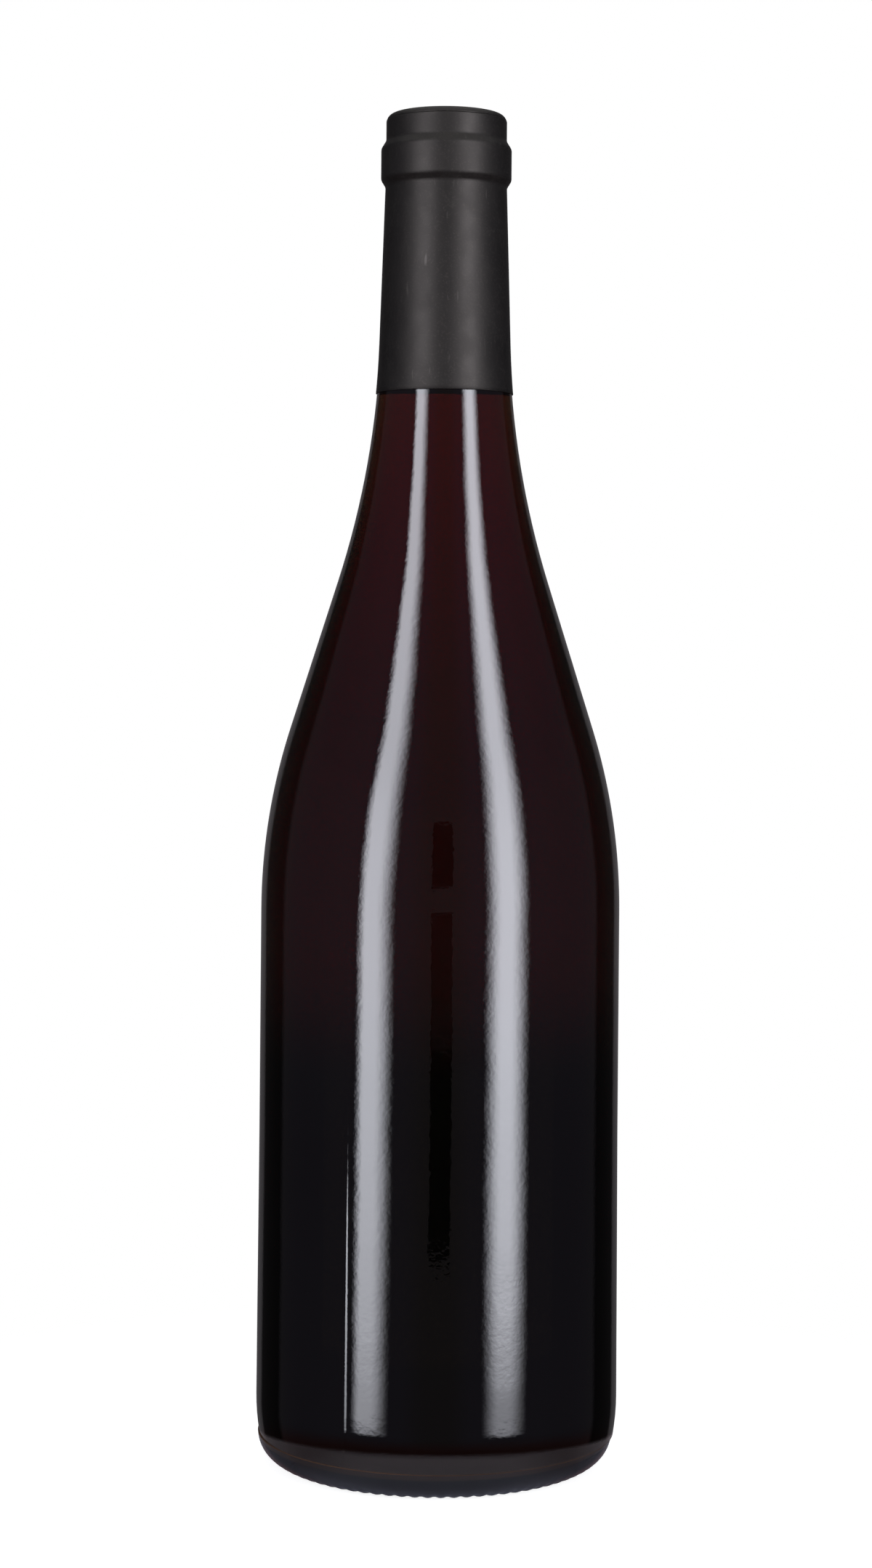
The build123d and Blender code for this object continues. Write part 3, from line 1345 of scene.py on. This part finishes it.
@dataclass(frozen=True)
class PaintedShadeBand:
    """A dark band of painted shade at the white backdrop's foot, which shows only through
    the bottle.

    It is a band bent round the axis: a point at angle a lies at (d cos a, d sin a). It
    fades out towards its top.
    """

    distance: float = 0.14
    fade: Range = (0.065, 0.102)  # heights where it is full, and gone
    ends: Range = (-20.0, 200.0)  # degrees from +X
    columns: int = 45
    # painted shade, as the lower body shows it through the glass
    colour: str = "#101010"

    def build(self) -> None:
        """Stand the band behind the bottle."""
        angles = np.radians(np.linspace(*self.ends, self.columns))
        line = np.column_stack([np.cos(angles), np.sin(angles)]) * self.distance
        heights = np.repeat([0.0, self.fade[1]], self.columns)
        places = np.column_stack([np.tile(line, (2, 1)), heights])
        low = np.arange(self.columns - 1)
        high = low + self.columns
        faces = np.column_stack([low, low + 1, high + 1, high])

        # Painted shade: a dark sheet that darkens what the lower body shows through the glass.
        material, tree = new_material("painted_shade_sheet")
        place = add_node(tree, "TexCoord")["Object"]
        level = add_node(tree, "SeparateXYZ", (place,))["Z"]
        fade = add_node(tree, "MapRange", (level, *self.fade, 0.0, 1.0), **SMOOTH)[0]
        paint = add_node(tree, "BsdfDiffuse", {"Color": linear(self.colour)})[0]
        clear = add_node(tree, "BsdfTransparent")[0]
        both = add_node(tree, "MixShader", (fade, paint, clear))[0]
        add_node(tree, "OutputMaterial", {"Surface": both})
        band = stage_piece("painted_shade_band", places.tolist(), faces.tolist(), material)
        band.visible_camera = False
        band.visible_diffuse = False
        band.visible_glossy = False
        band.visible_shadow = False


@dataclass(frozen=True)
class CameraStand:
    """The camera's black column, which shows only as a dark slit in the bottle's gloss."""

    left: float = -0.070
    right: float = 0.099
    distance: float = 0.75
    heights: tuple[Range, ...] = ((-0.087, 0.0912), (0.1536, 0.337))
    colour: str = "#4A4A4A"

    def build(self) -> None:
        """Stand the dark plates under and over the camera."""
        material, tree = new_material("black_camera_column")
        paint = add_node(tree, "BsdfDiffuse", {"Color": linear(self.colour)})[0]
        add_node(tree, "OutputMaterial", {"Surface": paint})
        y = -self.distance
        for number, (low, high) in enumerate(self.heights):
            bottom = [(self.left, y, low), (self.right, y, low)]
            top = [(self.right, y, high), (self.left, y, high)]
            name = f"camera_column_{number}"
            plate = stage_piece(name, bottom + top, [(0, 1, 2, 3)], material)
            plate.visible_camera = False
            plate.visible_diffuse = False
            plate.visible_transmission = False
            plate.visible_shadow = False


@dataclass(frozen=True)
class Viewpoint:
    """The camera: level, a little over half way up the bottle, and turned a touch."""

    place: tuple[float, float, float] = (-0.00144, -0.678, 0.1814)
    roll: float = -0.0083  # radians
    lens: float = 69.55  # mm
    sensor: float = 36.0  # mm
    shift: float = -0.0886
    nearest: float = 0.01

    def build(self) -> None:
        """Set up the scene's camera."""
        lens = bpy.data.cameras.new("camera")
        lens.lens = self.lens
        lens.sensor_width = self.sensor
        lens.shift_y = self.shift
        lens.clip_start = self.nearest
        camera = bpy.data.objects.new("camera", lens)
        camera.location = self.place
        camera.rotation_euler = (math.pi / 2, self.roll, 0.0)
        bpy.context.scene.collection.objects.link(camera)
        bpy.context.scene.camera = camera


LEFT_SOFT_BOX = SoftBox(
    name="left_soft_box",
    dark_from=-53.8,
    full_from=-47.2,
    full_to=-41.0,
    dark_to=-27.5,
    radiance=11.4,
    lean=4.0,
    foot=(-0.397, -0.27),
    foot_level=0.70,
    top_level=0.87,
)
RIGHT_SOFT_BOX = SoftBox(
    name="right_soft_box",
    dark_from=27.4,
    full_from=39.6,
    full_to=44.6,
    dark_to=58.6,
    radiance=12.95,
    lean=0.0,
    foot=(-0.397, -0.25),
    foot_level=0.45,
    top_level=0.9,
)


# --- The whole --------------------------------------------------------------------
def foot_of(node: str) -> float:
    """The height of a CAD node's lowest point, in millimetres."""
    return float(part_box(node)[0][2]) / MM


def top_of(node: str) -> float:
    """The height of a CAD node's highest point, in millimetres."""
    return float(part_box(node)[1][2]) / MM


def settle(piece: bpy.types.Object, node: str) -> None:
    """Tie a piece to the frame.

    Args:
        piece: The piece.
        node: The CAD node that it stands for.
    """
    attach(piece, "root")
    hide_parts(node)
    log.info("%s: %d faces", piece.name, len(piece.data.polygons))


def main() -> None:
    """Build the bottle and the studio, and report each piece."""
    logging.basicConfig(level=logging.INFO, format="%(name)s: %(message)s")
    log.info("frame with %d CAD nodes", len(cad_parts))
    shape = BottleShape(rim_height=top_of("glass"))
    glass = BlownGlass()
    bottle = GlassBottle(shape).build(glass.outer(), glass.inner(), MouldLine().make())
    settle(bottle, "glass")
    wine = WineFill(shape, level=top_of("wine"))
    settle(wine.build(RedWine().make()), "wine")
    film = SatinFilm().make()
    capsule = Capsule(shape, foot=foot_of("capsule_skirt"), seam=foot_of("capsule_disc"))
    settle(capsule.build_skirt(film), "capsule_skirt")
    settle(capsule.build_disc(film, SHADED_TOP_FILM.make()), "capsule_disc")

    for part in (Room(), Floor(), PaintedShadeBand(), LEFT_SOFT_BOX, RIGHT_SOFT_BOX):
        part.build()
    CameraStand().build()
    Viewpoint().build()
    bpy.context.scene.view_settings.view_transform = "Standard"


if __name__ == "__main__":
    main()
